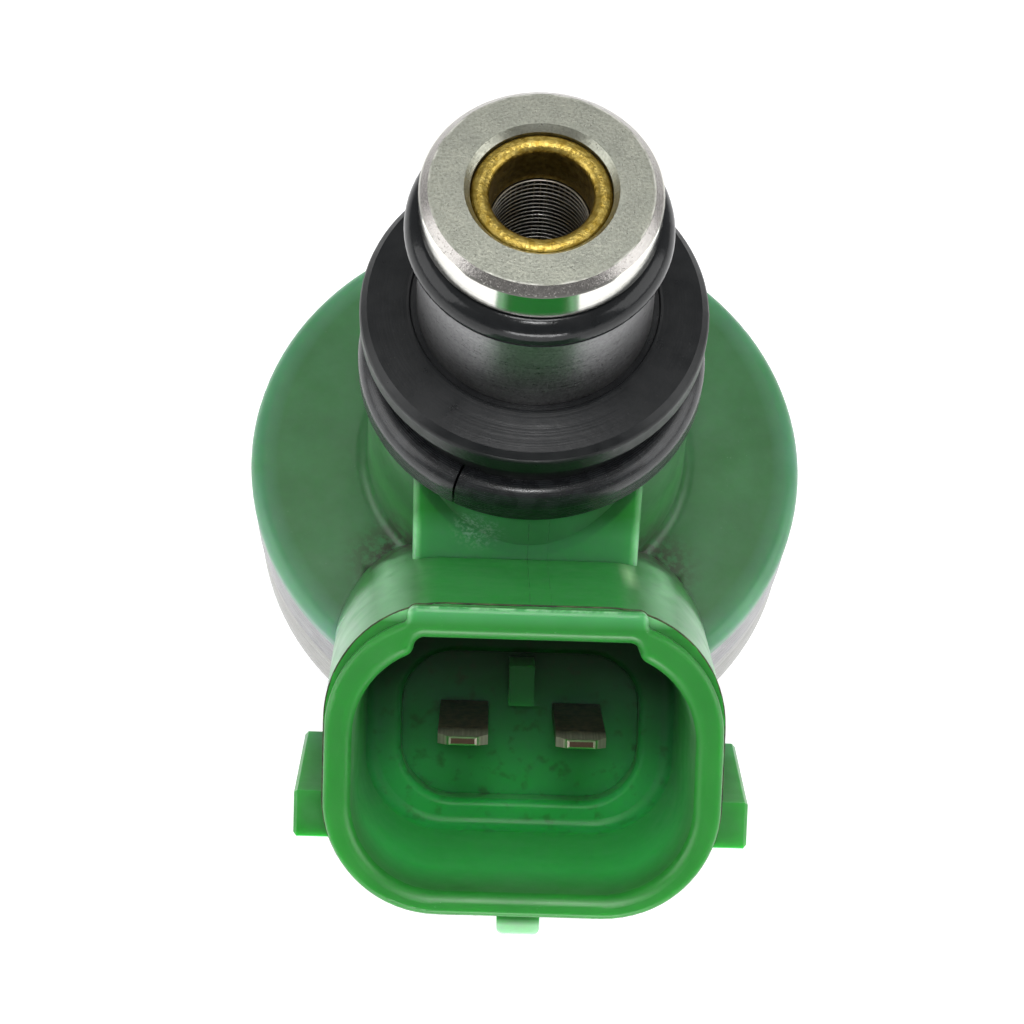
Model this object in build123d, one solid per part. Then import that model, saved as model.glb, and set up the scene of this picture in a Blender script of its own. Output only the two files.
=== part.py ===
"""Top-feed fuel injector with an angled two-pin connector.

The injector stands on the Z axis with its fuel inlet upwards. The origin is
the centre of the flat end face of the inlet tube. The connector points
towards -Y and upwards. All lengths are in millimetres.
"""

import os
from math import cos, radians, sin, sqrt

from build123d import *

os.makedirs("parts", exist_ok=True)

# ---------------------------------------------------------------- dimensions

# Inlet tube, which is also the fixed magnetic core
FACE_R = 4.90
FLANGE_R = 5.30
FLANGE_CHAMFER = 0.40
FLANGE_BOTTOM = -1.90
GROOVE_R = 4.03
GROOVE_BOTTOM = -4.15
TUBE_TOP_R = 5.35
TUBE_LOW_R = 5.45
SEAT_R = 5.80
SEAT_TOP = -9.50
SEAT_BOTTOM = -16.50
CORE_R = 5.45
POLE_FACE = -39.00
FILTER_BORE_R = 3.10
FILTER_BORE_BOTTOM = -17.20
SPRING_BORE_R = 2.00
SPRING_BORE_TOP = -18.30

# Inlet filter
COLLAR_TOP = -0.30
COLLAR_BOTTOM = -2.55
COLLAR_BORE_R = 2.24
MESH_R = 2.25
MESH_WALL = 0.10
RIB_R = 2.60
FRAME_TOP_BOTTOM = -3.60
FRAME_CAP_TOP = -16.00
FRAME_CAP_BOTTOM = -16.60

# Seals and spacer on the inlet
RAIL_RING_SECTION = 1.92
RAIL_RING_Z = -3.05
GROMMET_TOP = -9.25
GROMMET_RIM_R = 8.09
GROMMET_WAIST_R = 7.20
GROMMET_BOTTOM = -13.20
SPACER_R = 8.27
SPACER_BOTTOM = -15.40
SPACER_SLIT = 0.12
SPACER_SLIT_ANGLE = -115.0

# Plastic overmould: neck, block, disc and connector
NECK_R = 7.80
NECK_ROOT = 0.70
DISC_R = 14.05
DISC_TOP = -24.05
DISC_BOTTOM = -25.20
BLOCK_WIDTH = 10.85
BLOCK_FRONT_TOP = -6.15
BLOCK_FRONT_BOTTOM = -11.47
BLOCK_CORNER = 0.40

# Connector shroud; its own plane lies on the rim and faces out of the socket
RIM_Y = -21.00
RIM_Z = -13.40
RIM_SLOPE = 56.0
SHROUD_WIDTH = 17.50
SHROUD_BOTTOM = -7.00
SHROUD_TOP = 6.30
SHROUD_CORNER = 5.10
SHROUD_LENGTH = 14.50
SHROUD_DRAFT = 0.030
ROOT_LENGTH = 24.00
RIM_BAND = 0.50
BODY_TOP = 6.85
BODY_CORNER = 5.20
KEY_WIDTH = 10.50
KEY_TOP = 6.78
KEY_CORNER = 0.42
KEY_ROOT = 0.28
SIDE_WALL = 1.20
CAVITY_BOTTOM = -6.00
CAVITY_TOP = 4.90
CAVITY_CORNER = 4.00
KEYWAY_WIDTH = 9.90
KEYWAY_TOP = 5.35
KEYWAY_CORNER = 0.50
FLOOR_CORNER = 0.60
WELL_LIP = 0.35
RIM_OUTER_EDGE = 0.28
RIM_INNER_EDGE = 0.50
SOCKET_DEPTH = 11.00
SOCKET_DRAFT = 0.20
WELL_WIDTH = 11.40
WELL_HEIGHT = 7.20
WELL_Y = -0.80
WELL_DEPTH = 1.30

# Terminals
PIN_PITCH = 5.40
PIN_WIDTH = 2.30
PIN_THICKNESS = 0.64
PIN_TIP = 4.60
PIN_TAPER_DROP = 0.13
PIN_TAPER_LENGTH = 1.60
PIN_CORNER = 0.55
PIN_EDGE = 0.06
PIN_Y = -0.15
PIN_BEND = 12.70
PIN_DROP_Y = -8.40
PIN_FOOT = -29.40

# Steel magnetic circuit
PLATE_R = 14.00
PLATE_BOTTOM = -28.00
HOUSING_FLANGE_R = 13.90
HOUSING_FLANGE_BOTTOM = -32.00
HOUSING_R = 11.20
HOUSING_BORE_R = 9.90
HOUSING_FLOOR_TOP = -41.00
HOUSING_FLOOR_BOTTOM = -42.60

# Coil
BOBBIN_TOP = -28.00
BOBBIN_BOTTOM = -41.00
BOBBIN_R = 9.80
BOBBIN_HUB_R = 7.30
BOBBIN_CHEEK = 1.90
WINDING_R = 9.50
COIL_RING_SECTION = 1.20

# Sleeve that bridges the air gap without carrying flux
SLEEVE_R = 6.25
SLEEVE_TOP = -35.00

# Valve: armature, needle, seat and body
GUIDE_CLEARANCE = 0.05
NEEDLE_LIFT = 0.12
ARMATURE_R = CORE_R - GUIDE_CLEARANCE
ARMATURE_TOP = POLE_FACE - NEEDLE_LIFT - 0.02
ARMATURE_BOTTOM = -46.50
POCKET_R = 2.10
POCKET_BOTTOM = -41.50
NEEDLE_R = 1.50
NEEDLE_TOP = -42.50
BALL_R = 1.90
BALL_Z = -57.40
BODY_SHOULDER_R = 8.80
BODY_SHOULDER_BOTTOM = -45.20
CHAMBER_BOTTOM = -47.30
BODY_BORE_R = 3.00
SPIGOT_R = 6.90
NOZZLE_GROOVE_R = 5.20
NOZZLE_GROOVE_TOP = -50.00
NOZZLE_GROOVE_BOTTOM = -53.20
SPIGOT_BOTTOM = -55.00
NOZZLE_R = 5.60
NOZZLE_BOTTOM = -60.80
VALVE_SEAT_R = 4.20
VALVE_SEAT_TOP = -54.20
VALVE_SEAT_BOTTOM = -60.00
PLATE_THICKNESS = 0.30

# Springs and adjusting tube
ADJUSTER_TOP = -23.00
ADJUSTER_BOTTOM = -31.00
SPRING_MEAN_R = 1.50
SPRING_WIRE_R = 0.25
SPRING_TURNS = 8

# Lower seals and cap
NOZZLE_RING_SECTION = 2.40
INSULATOR_R = 9.60
INSULATOR_BOTTOM = -48.40
CAP_R = 6.70
CAP_TOP = -55.20
CAP_BOTTOM = -63.00
CAP_MOUTH_R = 3.20

# ------------------------------------------------------------------- helpers

SLOPE = radians(RIM_SLOPE)
SOCKET_PLANE = Plane(
    origin=(0, RIM_Y, RIM_Z),
    x_dir=(1, 0, 0),
    z_dir=(0, -cos(SLOPE), sin(SLOPE)),
)
OUTWARDS = Axis(SOCKET_PLANE.origin, SOCKET_PLANE.z_dir)


def turned(points):
    """Solid of revolution about Z from (radius, height) corners."""
    outline = Polyline(*[(r, 0, z) for r, z in points], close=True)
    return revolve(make_face(outline), Axis.Z, 360)


def tube(outer_r, inner_r, top, bottom):
    """Plain ring between two heights."""
    return turned([(inner_r, top), (outer_r, top), (outer_r, bottom), (inner_r, bottom)])


def edges_at(shape, radius, height):
    """Circular edges of one radius at one height."""
    return [
        edge
        for edge in shape.edges().filter_by(GeomType.CIRCLE)
        if abs(edge.radius - radius) < 0.01 and abs(edge.arc_center.Z - height) < 0.01
    ]


def in_socket(x, y, depth):
    """Place of a point in the connector, measured from the rim inwards."""
    return SOCKET_PLANE * Pos(x, y, -depth)


def socket_block(x_low, x_high, y_low, y_high, near, far):
    """Box in the connector's own directions, between two depths behind the rim."""
    size = Box(x_high - x_low, y_high - y_low, far - near)
    return in_socket((x_low + x_high) / 2, (y_low + y_high) / 2, (near + far) / 2) * size


# ------------------------------------------------------------- fuel inlet end


def inlet_tube():
    """Turned steel tube: rail flange, ring groove, grommet seat, core and bores."""
    body = turned([
        (FILTER_BORE_R + 0.25, 0),
        (FACE_R, 0),
        (FLANGE_R, -FLANGE_CHAMFER),
        (FLANGE_R, FLANGE_BOTTOM),
        (GROOVE_R, FLANGE_BOTTOM),
        (GROOVE_R, GROOVE_BOTTOM),
        (TUBE_TOP_R - 0.15, GROOVE_BOTTOM),
        (TUBE_TOP_R, GROOVE_BOTTOM - 0.15),
        (TUBE_LOW_R, SEAT_TOP),
        (SEAT_R, SEAT_TOP),
        (SEAT_R, SEAT_BOTTOM),
        (CORE_R, SEAT_BOTTOM),
        (CORE_R, POLE_FACE),
        (SPRING_BORE_R, POLE_FACE),
        (SPRING_BORE_R, SPRING_BORE_TOP),
        (FILTER_BORE_R, FILTER_BORE_BOTTOM),
        (FILTER_BORE_R, -0.30),
    ])
    return fillet(edges_at(body, GROOVE_R, FLANGE_BOTTOM) + edges_at(body, GROOVE_R, GROOVE_BOTTOM), 0.2)


def filter_collar():
    """Brass collar of the inlet filter, with a rolled top lip."""
    body = tube(FILTER_BORE_R, COLLAR_BORE_R, COLLAR_TOP, COLLAR_BOTTOM)
    return fillet(
        edges_at(body, FILTER_BORE_R, COLLAR_TOP) + edges_at(body, COLLAR_BORE_R, COLLAR_TOP), 0.38
    )


def filter_frame():
    """Moulded cage of the filter: top ring, three ribs and a closed foot."""
    frame = tube(FILTER_BORE_R - 0.05, MESH_R, COLLAR_BOTTOM, FRAME_TOP_BOTTOM)
    frame += tube(RIB_R, 0.01, FRAME_CAP_TOP, FRAME_CAP_BOTTOM)
    height = FRAME_TOP_BOTTOM - FRAME_CAP_TOP
    middle = (FRAME_TOP_BOTTOM + FRAME_CAP_TOP) / 2
    rib_depth = RIB_R - MESH_R
    for turn in (95, 215, 335):
        rib = Pos(MESH_R + rib_depth / 2 + 0.02, 0, middle) * Box(rib_depth - 0.04, 0.7, height)
        frame += Rot(0, 0, turn) * rib
    return frame


def filter_mesh():
    """Fine mesh sleeve held inside the filter cage."""
    return tube(MESH_R, MESH_R - MESH_WALL, COLLAR_BOTTOM, FRAME_CAP_TOP)


def rail_oring():
    """Rubber ring that seals the inlet in the fuel rail."""
    return Pos(0, 0, RAIL_RING_Z) * Torus(GROOVE_R + RAIL_RING_SECTION / 2, RAIL_RING_SECTION / 2)


def upper_grommet():
    """Rubber grommet with a wide rim and an inner lip, stretched over the tube's seat."""
    body = turned([
        (SEAT_R, SEAT_TOP),
        (TUBE_LOW_R, SEAT_TOP),
        (TUBE_LOW_R, GROMMET_TOP - 0.05),
        (SEAT_R - 0.08, GROMMET_TOP - 0.05),
        (SEAT_R, GROMMET_TOP + 0.05),
        (SEAT_R + 0.12, GROMMET_TOP + 0.05),
        (GROMMET_RIM_R - 0.35, GROMMET_TOP - 0.25),
        (GROMMET_RIM_R, GROMMET_TOP - 0.60),
        (GROMMET_RIM_R, GROMMET_TOP - 1.55),
        (GROMMET_RIM_R - 0.30, GROMMET_TOP - 1.85),
        (GROMMET_WAIST_R, GROMMET_TOP - 2.10),
        (GROMMET_WAIST_R, GROMMET_BOTTOM),
        (SEAT_R, GROMMET_BOTTOM),
    ])
    return fillet(edges_at(body, GROMMET_RIM_R, GROMMET_TOP - 0.60), 0.3)


def split_spacer_ring():
    """Plastic ring with one narrow slit, so that it can be opened over the tube."""
    ring = tube(SPACER_R, SEAT_R, GROMMET_BOTTOM, SPACER_BOTTOM)
    ring = fillet(edges_at(ring, SPACER_R, GROMMET_BOTTOM), 0.9)
    ring = fillet(edges_at(ring, SPACER_R, SPACER_BOTTOM), 0.3)
    slit = Pos(SPACER_R, 0, (GROMMET_BOTTOM + SPACER_BOTTOM) / 2) * Box(2 * SPACER_R, SPACER_SLIT, 4)
    return ring - Rot(0, 0, SPACER_SLIT_ANGLE) * slit


# ----------------------------------------------------------------- overmould


def neck_and_disc():
    """Round neck that stands on the thin disc on top of the steel parts."""
    top = SPACER_BOTTOM
    root_r = NECK_R + 0.25
    outline = [
        Line((SEAT_R, 0, top), (NECK_R - 0.3, 0, top)),
        Line((NECK_R - 0.3, 0, top), (NECK_R, 0, top - 0.3)),
        Line((NECK_R, 0, top - 0.3), (root_r, 0, DISC_TOP + NECK_ROOT)),
        ThreePointArc(
            (root_r, 0, DISC_TOP + NECK_ROOT),
            (root_r + 0.30 * NECK_ROOT, 0, DISC_TOP + 0.34 * NECK_ROOT),
            (root_r + NECK_ROOT, 0, DISC_TOP + 0.06),
        ),
        Line((root_r + NECK_ROOT, 0, DISC_TOP + 0.06), (DISC_R - 0.75, 0, DISC_TOP)),
        ThreePointArc(
            (DISC_R - 0.75, 0, DISC_TOP),
            (DISC_R - 0.20, 0, DISC_TOP - 0.22),
            (DISC_R, 0, DISC_TOP - 0.70),
        ),
        Line((DISC_R, 0, DISC_TOP - 0.70), (DISC_R, 0, DISC_BOTTOM)),
        Line((DISC_R, 0, DISC_BOTTOM), (CORE_R, 0, DISC_BOTTOM)),
        Line((CORE_R, 0, DISC_BOTTOM), (CORE_R, 0, SEAT_BOTTOM)),
        Line((CORE_R, 0, SEAT_BOTTOM), (SEAT_R, 0, SEAT_BOTTOM)),
        Line((SEAT_R, 0, SEAT_BOTTOM), (SEAT_R, 0, top)),
    ]
    return revolve(make_face(Curve() + outline), Axis.Z, 360)


def socket_outline(width, low, high, corner, depth):
    """Rounded rectangle across the connector at one depth behind the rim."""
    return in_socket(0, (low + high) / 2, depth) * RectangleRounded(width, high - low, corner)


def shroud_envelope(length):
    """Rounded box behind the rim band, widening slightly inwards."""
    grown = SHROUD_DRAFT * (length - RIM_BAND)
    low = SHROUD_BOTTOM - 0.04
    near = socket_outline(SHROUD_WIDTH + 0.08, low, BODY_TOP, BODY_CORNER, RIM_BAND)
    far = socket_outline(SHROUD_WIDTH + 0.08 + 2 * grown, low - grown, BODY_TOP + grown, BODY_CORNER, length)
    return loft([near, far])


def socket_place(point):
    """Position of a point across, up and behind the rim of the connector."""
    local = SOCKET_PLANE.to_local_coords(point)
    return local.X, local.Y, -local.Z


def inward_edges(solid, half_width, height, reach):
    """Edges that run into the socket at one half width, within reach of one height."""
    found = []
    for edge in solid.edges():
        across, up, depth = socket_place(edge @ 0.5)
        run = abs(socket_place(edge @ 0)[2] - socket_place(edge @ 1)[2])
        beside = half_width - 0.5 < abs(across) < half_width + 0.05
        if run > 0.5 and beside and abs(up - height) < reach:
            found.append(edge)
    return found


def edges_at_depth(solid, depth):
    """Edges that lie in the plane at one depth behind the rim."""
    return [
        edge for edge in solid.edges()
        if all(abs(socket_place(edge @ t)[2] - depth) < 0.01 for t in (0, 0.5, 1))
    ]


def rim_band():
    """Narrow band at the rim with the stepped rise of the key."""
    band = socket_outline(SHROUD_WIDTH, SHROUD_BOTTOM, SHROUD_TOP, SHROUD_CORNER, RIM_BAND + 0.1)
    half = KEY_WIDTH / 2
    key = socket_block(-half, half, SHROUD_TOP - 1.2, KEY_TOP, 0, RIM_BAND + 0.1)
    band = extrude(band, RIM_BAND + 0.1) + key
    band = fillet(inward_edges(band, half, KEY_TOP, 0.1), KEY_CORNER)
    step_y = SHROUD_TOP - SHROUD_CORNER + sqrt(SHROUD_CORNER**2 - (half - SHROUD_WIDTH / 2 + SHROUD_CORNER) ** 2)
    return fillet(inward_edges(band, half, step_y, 0.1), KEY_ROOT)


def shroud_outside():
    """Solid envelope of the connector, run into the neck and disc."""
    free_end = shroud_envelope(SHROUD_LENGTH)
    back = free_end.faces().sort_by(OUTWARDS)[0]
    free_end = fillet(back.edges(), 3.2)
    root_height = SPACER_BOTTOM - DISC_BOTTOM
    root_space = Pos(0, 0, DISC_BOTTOM + root_height / 2) * Cylinder(DISC_R - 0.05, root_height)
    root = shroud_envelope(ROOT_LENGTH) & root_space
    return free_end + root + rim_band()


def side_lugs():
    """Ramped latch lugs on both flanks of the shroud and the small tab below it."""
    side = SHROUD_WIDTH / 2
    profile = Polyline(
        (-2.2, -4.15), (-2.2, -2.05), (-3.2, -1.90), (-9.0, -0.85), (-9.8, -1.30), (-9.8, -3.90), (-5.6, -4.15),
        close=True,
    )
    flank = Plane(SOCKET_PLANE.origin, x_dir=SOCKET_PLANE.z_dir, z_dir=(-1, 0, 0))
    lug = Pos(side - 0.5, 0, 0) * extrude(flank * make_face(profile), 1.9, dir=(1, 0, 0))
    lug = chamfer(lug.faces().sort_by(Axis.X)[-1].edges(), 0.15)
    tab = socket_block(-0.95, 0.95, SHROUD_BOTTOM - 1.0, SHROUD_BOTTOM + 0.5, 0.9, 4.2)
    tab = fillet(tab.edges().filter_by(OUTWARDS), 0.3)
    return lug, mirror(lug, Plane.YZ), tab


def socket_hollow():
    """Space inside the shroud: drafted cavity, keyway and the well around the pins."""
    width = SHROUD_WIDTH - 2 * SIDE_WALL
    draft = SOCKET_DRAFT
    mouth = socket_outline(width, CAVITY_BOTTOM, CAVITY_TOP, CAVITY_CORNER, -0.5)
    floor = socket_outline(
        width - 2 * draft, CAVITY_BOTTOM + draft, CAVITY_TOP - draft, CAVITY_CORNER - draft, SOCKET_DEPTH
    )
    hollow = loft([mouth, floor])
    key_half = KEYWAY_WIDTH / 2
    hollow += socket_block(-key_half, key_half, 0, KEYWAY_TOP, -0.5, SOCKET_DEPTH - 1.0)
    hollow = fillet(inward_edges(hollow, key_half, CAVITY_TOP - 0.35, 0.2), KEYWAY_CORNER)
    hollow = fillet(inward_edges(hollow, key_half, KEYWAY_TOP, 0.1), KEYWAY_CORNER)
    hollow = fillet(edges_at_depth(hollow, SOCKET_DEPTH), FLOOR_CORNER)
    well = in_socket(0, WELL_Y, SOCKET_DEPTH + WELL_DEPTH) * RectangleRounded(WELL_WIDTH, WELL_HEIGHT, 2.6)
    hollow += extrude(well, WELL_DEPTH + 0.5)
    return fillet(edges_at_depth(hollow, SOCKET_DEPTH), WELL_LIP)


def terminal(x):
    """One terminal: flat bar from its pointed tip, bent twice, down to the bobbin."""
    near = in_socket(x, PIN_Y, PIN_TIP).position
    bend = in_socket(x, PIN_Y, PIN_BEND).position
    drop = Vector(x, PIN_DROP_Y, bend.Z)
    foot = Vector(x, PIN_DROP_Y, PIN_FOOT)
    path = FilletPolyline(near, bend, drop, foot, radius=0.8)
    section = Plane(origin=near, x_dir=(1, 0, 0), z_dir=bend - near) * Rectangle(PIN_WIDTH, PIN_THICKNESS)
    bar = sweep(section, path)
    tip = bar.faces().sort_by(OUTWARDS)[-1]
    bar = chamfer(tip.edges().filter_by(Axis.X), PIN_TAPER_DROP, PIN_TAPER_LENGTH, reference=tip)
    tip = bar.faces().sort_by(OUTWARDS)[-1]
    bar = chamfer(tip.edges().filter_by(Axis.X, reverse=True), PIN_CORNER)
    tip = bar.faces().sort_by(OUTWARDS)[-1]
    return chamfer(tip.edges(), PIN_EDGE)


def front_block():
    """Wedge in front of the neck, with a sloping front and rounded corners."""
    side = Polyline(
        (0, 0, SPACER_BOTTOM),
        (0, BLOCK_FRONT_TOP, SPACER_BOTTOM),
        (0, BLOCK_FRONT_BOTTOM, DISC_BOTTOM),
        (0, 0, DISC_BOTTOM),
        close=True,
    )
    body = extrude(make_face(side), BLOCK_WIDTH / 2, dir=(1, 0, 0), both=True)
    front = body.faces().sort_by(Axis.Y)[0]
    corners = [edge for edge in front.edges() if abs(edge.center().X) > BLOCK_WIDTH / 2 - 0.1]
    return fillet(corners, BLOCK_CORNER)


def overmould_body():
    """Moulded plastic body: neck, disc, block, connector shroud and its hollow."""
    body = neck_and_disc()
    body += front_block()
    body += shroud_outside()
    body -= socket_hollow()
    for lug in side_lugs():
        body += lug
    rib = socket_block(-0.6, 0.6, 0.5, 2.4, SOCKET_DEPTH - 1.2, SOCKET_DEPTH + WELL_DEPTH + 0.3)
    body += rib
    body -= Pos(0, 0, DISC_BOTTOM - 10) * Cylinder(PLATE_R + 0.03, 20)
    body -= Pos(0, 0, -20) * Cylinder(CORE_R, 60)
    body -= Pos(0, 0, (SEAT_BOTTOM + 5) / 2) * Cylinder(SEAT_R, 5 - SEAT_BOTTOM)
    for x in (-PIN_PITCH / 2, PIN_PITCH / 2):
        body -= terminal(x)
    rim = body.faces().sort_by(OUTWARDS)[-1]
    body = fillet(rim.outer_wire().edges(), RIM_OUTER_EDGE)
    rim = body.faces().sort_by(OUTWARDS)[-1]
    return fillet(rim.inner_wires()[0].edges(), RIM_INNER_EDGE)


# -------------------------------------------------------------- magnet and coil


def pin_towers(grow):
    """Two posts of the bobbin that carry the terminals through the flux plate."""
    width = PIN_WIDTH + 1.3 + grow
    depth = PIN_THICKNESS + 1.3 + grow
    top = DISC_BOTTOM + (0.5 if grow else 0)
    bottom = BOBBIN_TOP
    post = Pos(0, PIN_DROP_Y, (top + bottom) / 2) * Box(width, depth, top - bottom)
    return Pos(-PIN_PITCH / 2, 0, 0) * post + Pos(PIN_PITCH / 2, 0, 0) * post


def flux_plate():
    """Steel ring that closes the magnetic circuit above the coil."""
    plate = tube(PLATE_R, CORE_R, DISC_BOTTOM, PLATE_BOTTOM)
    plate = chamfer(edges_at(plate, PLATE_R, PLATE_BOTTOM), 0.25)
    return plate - pin_towers(0.1)


def steel_housing():
    """Deep steel cup around the coil, with a wide flange at its mouth."""
    body = turned([
        (HOUSING_BORE_R, PLATE_BOTTOM),
        (HOUSING_FLANGE_R, PLATE_BOTTOM),
        (HOUSING_FLANGE_R, HOUSING_FLANGE_BOTTOM + 0.8),
        (HOUSING_FLANGE_R - 0.8, HOUSING_FLANGE_BOTTOM),
        (HOUSING_R + 0.8, HOUSING_FLANGE_BOTTOM),
        (HOUSING_R, HOUSING_FLANGE_BOTTOM - 0.8),
        (HOUSING_R, HOUSING_FLOOR_BOTTOM + 1.2),
        (HOUSING_R - 1.2, HOUSING_FLOOR_BOTTOM),
        (SLEEVE_R, HOUSING_FLOOR_BOTTOM),
        (SLEEVE_R, HOUSING_FLOOR_TOP),
        (HOUSING_BORE_R, HOUSING_FLOOR_TOP),
    ])
    return chamfer(edges_at(body, HOUSING_FLANGE_R, PLATE_BOTTOM), 0.2)


def coil_bobbin():
    """Moulded spool with ring grooves at both ends and two terminal posts."""
    ring = COIL_RING_SECTION
    body = turned([
        (CORE_R + ring, BOBBIN_TOP),
        (BOBBIN_R, BOBBIN_TOP),
        (BOBBIN_R, BOBBIN_TOP - BOBBIN_CHEEK),
        (BOBBIN_HUB_R, BOBBIN_TOP - BOBBIN_CHEEK),
        (BOBBIN_HUB_R, BOBBIN_BOTTOM + BOBBIN_CHEEK),
        (BOBBIN_R, BOBBIN_BOTTOM + BOBBIN_CHEEK),
        (BOBBIN_R, BOBBIN_BOTTOM),
        (SLEEVE_R + ring, BOBBIN_BOTTOM),
        (SLEEVE_R + ring, BOBBIN_BOTTOM + ring + 0.1),
        (SLEEVE_R + 0.1, BOBBIN_BOTTOM + ring + 0.1),
        (SLEEVE_R + 0.1, SLEEVE_TOP + 0.1),
        (CORE_R + 0.1, SLEEVE_TOP + 0.1),
        (CORE_R + 0.1, BOBBIN_TOP - ring - 0.1),
        (CORE_R + ring, BOBBIN_TOP - ring - 0.1),
    ])
    body += pin_towers(0)
    for x in (-PIN_PITCH / 2, PIN_PITCH / 2):
        body -= terminal(x)
    return body


def coil_winding():
    """Copper winding on the bobbin."""
    top = BOBBIN_TOP - BOBBIN_CHEEK
    bottom = BOBBIN_BOTTOM + BOBBIN_CHEEK
    return tube(WINDING_R, BOBBIN_HUB_R, top, bottom)


def bobbin_oring_upper():
    """Rubber ring between the core and the top of the bobbin."""
    ring = COIL_RING_SECTION / 2
    return Pos(0, 0, BOBBIN_TOP - ring - 0.05) * Torus(CORE_R + ring, ring)


def bobbin_oring_lower():
    """Rubber ring between the sleeve and the foot of the bobbin."""
    ring = COIL_RING_SECTION / 2
    return Pos(0, 0, BOBBIN_BOTTOM + ring + 0.05) * Torus(SLEEVE_R + ring, ring)


def nonmagnetic_sleeve():
    """Stainless sleeve that joins the core to the valve body across the air gap."""
    return tube(SLEEVE_R, CORE_R, SLEEVE_TOP, HOUSING_FLOOR_TOP)


# ------------------------------------------------------------------- the valve


def adjuster_tube():
    """Slit tube pressed into the core, which sets the load of the return spring."""
    body = tube(SPRING_BORE_R, 1.20, ADJUSTER_TOP, ADJUSTER_BOTTOM)
    body = chamfer(edges_at(body, SPRING_BORE_R, ADJUSTER_TOP), 0.2)
    slit = Pos(SPRING_BORE_R, 0, (ADJUSTER_TOP + ADJUSTER_BOTTOM) / 2) * Box(2 * SPRING_BORE_R, 0.4, 10)
    return body - slit


def return_spring():
    """Helical compression spring between the adjuster tube and the armature."""
    top = ADJUSTER_BOTTOM - SPRING_WIRE_R
    bottom = POCKET_BOTTOM + SPRING_WIRE_R
    height = top - bottom
    path = Pos(0, 0, bottom) * Helix(height / SPRING_TURNS, height, SPRING_MEAN_R)
    start = Plane(origin=path @ 0, z_dir=path % 0)
    return sweep(start * Circle(SPRING_WIRE_R), path, is_frenet=True)


def armature():
    """Steel plunger with a spring pocket, a needle bore and four fuel holes."""
    body = turned([
        (POCKET_R, ARMATURE_TOP),
        (ARMATURE_R, ARMATURE_TOP),
        (ARMATURE_R, ARMATURE_BOTTOM),
        (NEEDLE_R, ARMATURE_BOTTOM),
        (NEEDLE_R, NEEDLE_TOP),
        (0.80, NEEDLE_TOP),
        (0.80, POCKET_BOTTOM),
        (POCKET_R, POCKET_BOTTOM),
    ])
    body = chamfer(edges_at(body, ARMATURE_R, ARMATURE_TOP) + edges_at(body, ARMATURE_R, ARMATURE_BOTTOM), 0.3)
    middle = (ARMATURE_TOP + ARMATURE_BOTTOM) / 2
    for hole in PolarLocations(3.5, 4, 45):
        body -= hole * Pos(0, 0, middle) * Cylinder(0.75, 10)
    return body


def valve_needle():
    """Needle with a ball end that closes the seat; flats on the ball pass fuel."""
    shaft = Pos(0, 0, (NEEDLE_TOP + BALL_Z) / 2) * Cylinder(NEEDLE_R, NEEDLE_TOP - BALL_Z)
    ball = Pos(0, 0, BALL_Z) * Sphere(BALL_R)
    for flat in PolarLocations(BALL_R, 4, 0):
        ball -= flat * Pos(0.6, 0, BALL_Z + 1.1) * Box(1.6, 3, 2.6)
    return shaft + ball


def valve_body():
    """Turned steel body below the coil: shoulder, manifold spigot, groove and nozzle."""
    body = turned([
        (CORE_R, HOUSING_FLOOR_TOP),
        (SLEEVE_R, HOUSING_FLOOR_TOP),
        (SLEEVE_R, HOUSING_FLOOR_BOTTOM),
        (BODY_SHOULDER_R, HOUSING_FLOOR_BOTTOM),
        (BODY_SHOULDER_R, BODY_SHOULDER_BOTTOM),
        (SPIGOT_R, BODY_SHOULDER_BOTTOM),
        (SPIGOT_R, NOZZLE_GROOVE_TOP),
        (NOZZLE_GROOVE_R, NOZZLE_GROOVE_TOP),
        (NOZZLE_GROOVE_R, NOZZLE_GROOVE_BOTTOM),
        (SPIGOT_R, NOZZLE_GROOVE_BOTTOM),
        (SPIGOT_R, SPIGOT_BOTTOM),
        (NOZZLE_R, SPIGOT_BOTTOM),
        (NOZZLE_R, NOZZLE_BOTTOM),
        (VALVE_SEAT_R, NOZZLE_BOTTOM),
        (VALVE_SEAT_R, VALVE_SEAT_TOP),
        (BODY_BORE_R, VALVE_SEAT_TOP),
        (BODY_BORE_R, CHAMBER_BOTTOM),
        (CORE_R, CHAMBER_BOTTOM),
    ])
    body = chamfer(edges_at(body, BODY_SHOULDER_R, BODY_SHOULDER_BOTTOM), 0.4)
    return chamfer(edges_at(body, SPIGOT_R, SPIGOT_BOTTOM), 0.2)


def valve_seat():
    """Hardened seat: ball guide, sealing cone and the metering hole below it."""
    apex = BALL_Z - BALL_R * 2 ** 0.5 - 0.015
    guide_r = BALL_R + GUIDE_CLEARANCE
    return turned([
        (2.60, VALVE_SEAT_TOP),
        (VALVE_SEAT_R, VALVE_SEAT_TOP),
        (VALVE_SEAT_R, VALVE_SEAT_BOTTOM),
        (0.50, VALVE_SEAT_BOTTOM),
        (0.50, apex + 0.50),
        (guide_r, apex + guide_r),
        (guide_r, VALVE_SEAT_TOP - 0.65),
    ])


def orifice_plate():
    """Thin plate with four spray holes, welded under the seat."""
    plate = tube(VALVE_SEAT_R, 0.05, VALVE_SEAT_BOTTOM, VALVE_SEAT_BOTTOM - PLATE_THICKNESS)
    for hole in PolarLocations(0.30, 4, 45):
        plate -= hole * Pos(0, 0, VALVE_SEAT_BOTTOM) * Cylinder(0.10, 2)
    return plate


def nozzle_oring():
    """Rubber ring that seals the spigot in the intake manifold."""
    ring = NOZZLE_RING_SECTION / 2
    middle = (NOZZLE_GROOVE_TOP + NOZZLE_GROOVE_BOTTOM) / 2
    return Pos(0, 0, middle) * Torus(NOZZLE_GROOVE_R + ring, ring)


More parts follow.
